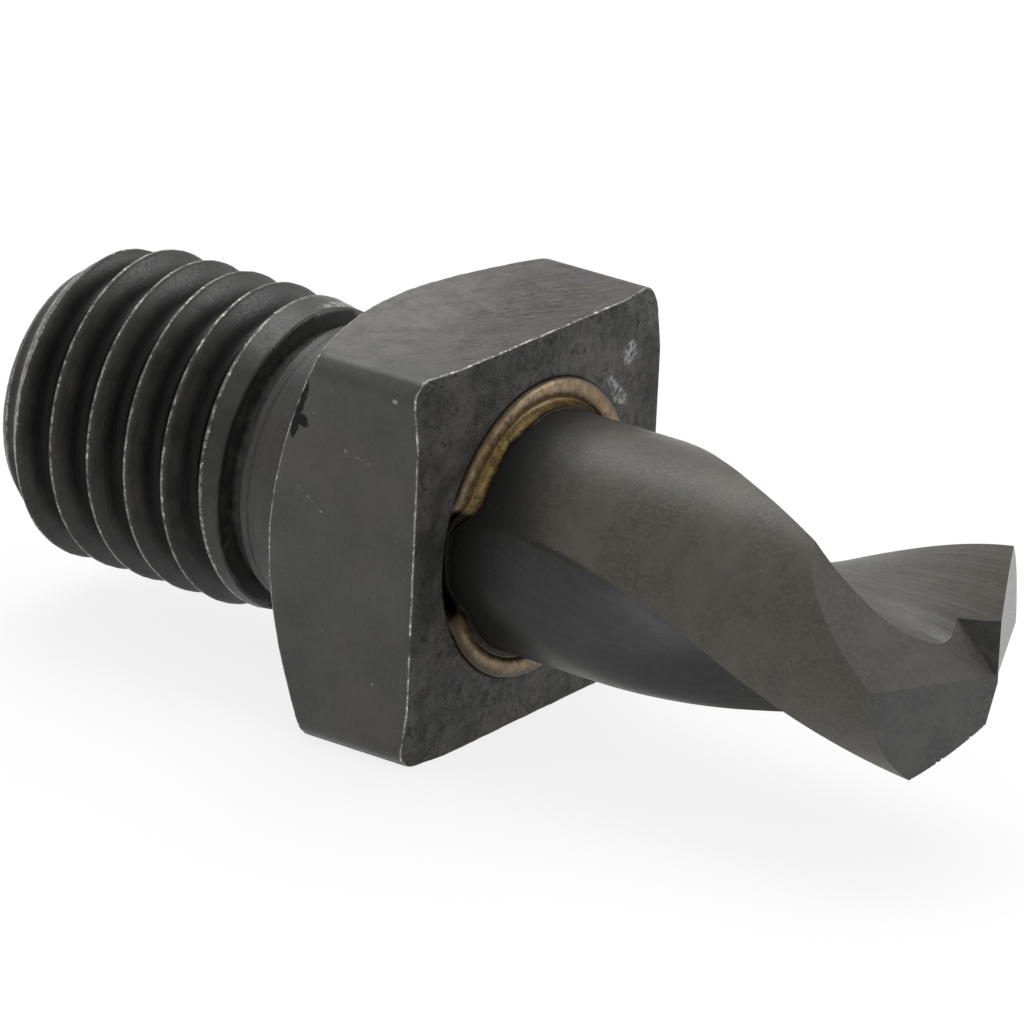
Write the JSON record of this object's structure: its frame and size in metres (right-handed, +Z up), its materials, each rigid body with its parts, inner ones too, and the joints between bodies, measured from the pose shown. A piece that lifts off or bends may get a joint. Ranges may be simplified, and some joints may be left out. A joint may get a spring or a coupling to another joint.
{
  "type": "stub drill bit",
  "caption": "Short twist drill brazed into a threaded shank, with a square wrench collar between drill and thread.",
  "frame": {"origin": "centre of the collar's lower wrench flat, midway along the collar", "axes": "+X along the drill's axis towards the cutting point, +Z up out of the flat that the part lies on, +Y level across the collar"},
  "size_m": [0.0214, 0.0078, 0.0077],
  "materials": {
    "shank_steel": "black oxide steel with worn edges, light rust and scale near the brazed mouth",
    "drill_steel": "steam oxide high speed steel, dark olive grey, ground bright at the point",
    "bronze_filler": "brazing bronze, heat stained, with a smooth rounded bead"
  },
  "bodies": {
    "root": {"shank_body": "shank_steel", "drill": "drill_steel", "braze_ring": "bronze_filler"}
  },
  "joints": []
}
